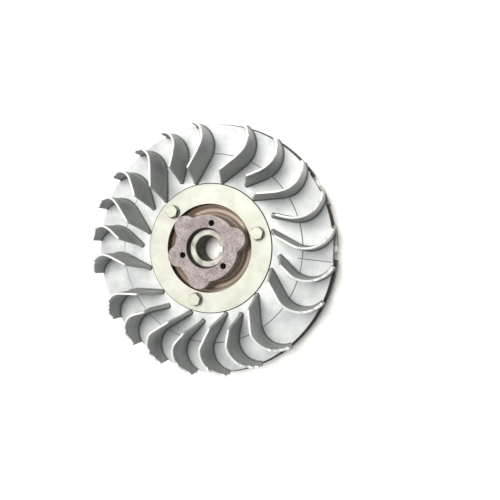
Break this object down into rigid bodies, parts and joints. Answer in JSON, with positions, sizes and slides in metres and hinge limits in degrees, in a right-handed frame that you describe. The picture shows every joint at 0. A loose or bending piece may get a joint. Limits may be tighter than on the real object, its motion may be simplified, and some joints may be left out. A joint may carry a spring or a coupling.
{
  "type": "engine flywheel with cooling fan",
  "caption": "Cast iron engine flywheel with a keyed hub, an ignition magnet in its rim and a cast aluminium fan with hooked blades under a round clamp plate.",
  "frame": {"origin": "on the spin axis, in the plane of the rim's inner face, which the part stands on", "axes": "+Z along the spin axis from the rim to the fan side; +X towards the rim's magnet, about 15 degrees short of its middle"},
  "size_m": [0.2196, 0.22, 0.0544],
  "materials": {
    "rotor_iron": "cast, lightly rusted, machined in the recess and bore",
    "fan_alloy": "die cast, matt",
    "plate_steel": "zinc plated, dulled to cream",
    "bolt_steel": "zinc plated",
    "spring_steel": "zinc plated spring steel, dark in its split",
    "magnet_ferrite": "sintered, matt",
    "shoe_steel": "laminated, ground on the rim's circle",
    "spacer_alloy": "cast, matt",
    "screw_steel": "oiled"
  },
  "bodies": {
    "root": {"rotor": "rotor_iron", "fan": "fan_alloy", "clamp_plate": "plate_steel", "bolt_1": "bolt_steel", "bolt_2": "bolt_steel", "bolt_3": "bolt_steel", "lock_washer_1": "spring_steel", "lock_washer_2": "spring_steel", "lock_washer_3": "spring_steel", "magnet": "magnet_ferrite", "pole_shoe_1": "shoe_steel", "pole_shoe_2": "shoe_steel", "spacer_1": "spacer_alloy", "spacer_2": "spacer_alloy", "shoe_screw_1": "screw_steel", "shoe_screw_2": "screw_steel"}
  },
  "joints": []
}
